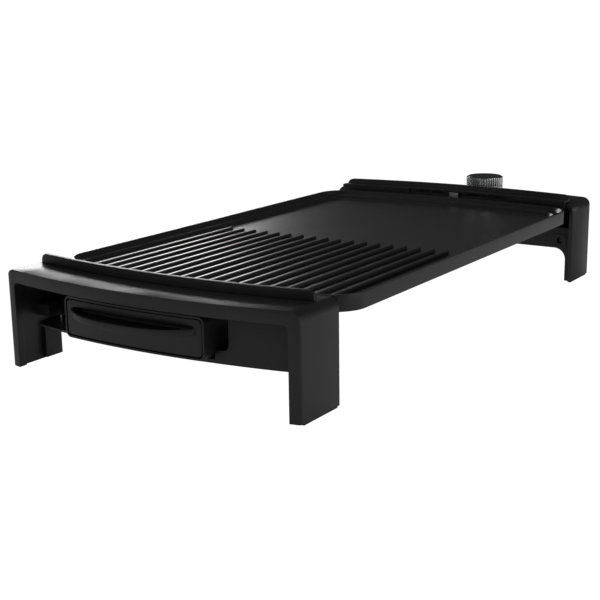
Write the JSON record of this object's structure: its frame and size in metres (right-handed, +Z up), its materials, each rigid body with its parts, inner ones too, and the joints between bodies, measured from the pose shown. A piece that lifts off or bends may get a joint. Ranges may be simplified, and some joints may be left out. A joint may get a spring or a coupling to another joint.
{
  "type": "electric griddle",
  "caption": "Long table griddle: a rimmed cast plate, half ribbed and half smooth, between two bowed end stands with a pull-out drip tray and a thermostat dial.",
  "frame": {"origin": "on the table plane, in the middle of the object's length and width, the drip tray's lip included", "axes": "+X along the length towards the end with the dial, +Z up, -Y towards the long side that carries the dial nearer to it"},
  "size_m": [0.627, 0.295, 0.1025],
  "materials": {
    "shell": "satin black moulding",
    "inner": "satin black moulding",
    "plate": "black non-stick coating on die-cast aluminium",
    "knob_silver": "bright metallised plating",
    "steel": "bare sheet and turned steel",
    "rubber": "matt black",
    "ceramic": "matt cream ceramic",
    "lamp": "clear red lens"
  },
  "bodies": {
    "frame": {"control_apron": "inner", "control_base_cover": "inner", "control_bracket_left": "steel", "control_bracket_right": "steel", "control_bracket_screw_left": "steel", "control_bracket_screw_right": "steel", "control_cover_screw_left": "steel", "control_cover_screw_right": "steel", "control_foot_left": "rubber", "control_foot_right": "rubber", "control_inner_panel": "inner", "control_panel_screw_left": "steel", "control_panel_screw_right": "steel", "control_splash_guard": "inner", "control_stand_shell": "shell", "drawer_frame": "inner", "drawer_guide": "inner", "element_terminal_left": "ceramic", "element_terminal_right": "ceramic", "griddle_plate": "plate", "heat_shield": "steel", "heating_element": "steel", "inlet_pin_earth": "steel", "inlet_pin_live": "steel", "inlet_pin_neutral": "steel", "pilot_lamp_holder": "ceramic", "pilot_lamp_lens": "lamp", "power_inlet": "inner", "sensor_strip": "steel", "terminal_block": "ceramic", "thermostat_body": "ceramic", "tray_apron": "inner", "tray_base_cover": "inner", "tray_bracket_left": "steel", "tray_bracket_right": "steel", "tray_bracket_screw_left": "steel", "tray_bracket_screw_right": "steel", "tray_cover_screw_left": "steel", "tray_cover_screw_right": "steel", "tray_foot_left": "rubber", "tray_foot_right": "rubber", "tray_inner_panel": "inner", "tray_panel_screw_left": "steel", "tray_panel_screw_right": "steel", "tray_splash_guard": "inner", "tray_stand_shell": "shell"},
    "drip_drawer": {"drip_tray": "inner", "drip_tray_front": "shell"},
    "thermostat_knob": {"knob_ring": "knob_silver", "knob_cap": "inner", "knob_shaft": "steel"}
  },
  "joints": [
    {"name": "drip_tray_slide", "type": "slide", "parent": "frame", "child": "drip_drawer", "axis": [-1, 0, 0], "range_m": [0, 0.095]},
    {"name": "thermostat_turn", "type": "hinge", "parent": "frame", "child": "thermostat_knob", "pos_m": [0.2924, -0.021, 0.0866], "axis": [0, 0, -1], "range_deg": [0, 280]}
  ]
}
